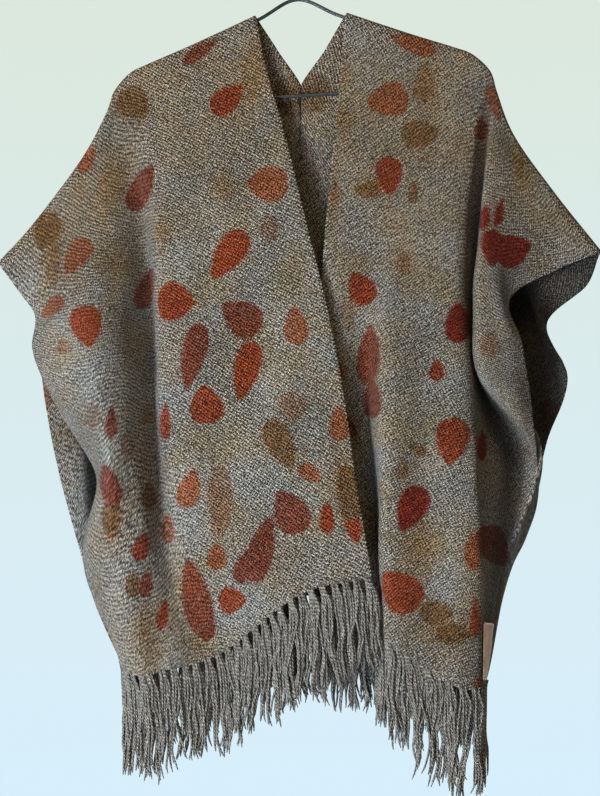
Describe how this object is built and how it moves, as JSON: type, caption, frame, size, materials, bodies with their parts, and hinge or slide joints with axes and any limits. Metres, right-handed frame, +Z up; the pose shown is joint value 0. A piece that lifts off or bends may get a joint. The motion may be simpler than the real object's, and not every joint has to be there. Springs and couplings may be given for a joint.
{
  "type": "ruana wrap on a wire hanger",
  "caption": "Open-fronted wool wrap of woven lengths joined at the back, with fringed hems, hung flat on a coated wire hanger.",
  "frame": {"origin": "underside of the top of the hanger's hook, where it rests on a rail", "axes": "+Z up along the hanging cloth, -Y out of the front of the garment, +X to the right as seen from the front"},
  "size_m": [0.6843, 0.1223, 0.9983],
  "materials": {
    "wool_cloth": "handwoven mottled wool with rust leaf prints, matt",
    "wool_yarn": "twisted wool yarn ends, matt",
    "leather_tab": "bare natural leather, satin",
    "coated_wire": "dark plastic-coated steel wire, semi-gloss"
  },
  "bodies": {
    "root": {"panel_left": "wool_cloth", "panel_right": "wool_cloth", "fringe_front_left": "wool_yarn", "fringe_front_right": "wool_yarn", "fringe_back_left": "wool_yarn", "fringe_back_right": "wool_yarn", "label": "leather_tab", "hanger": "coated_wire"}
  },
  "joints": []
}
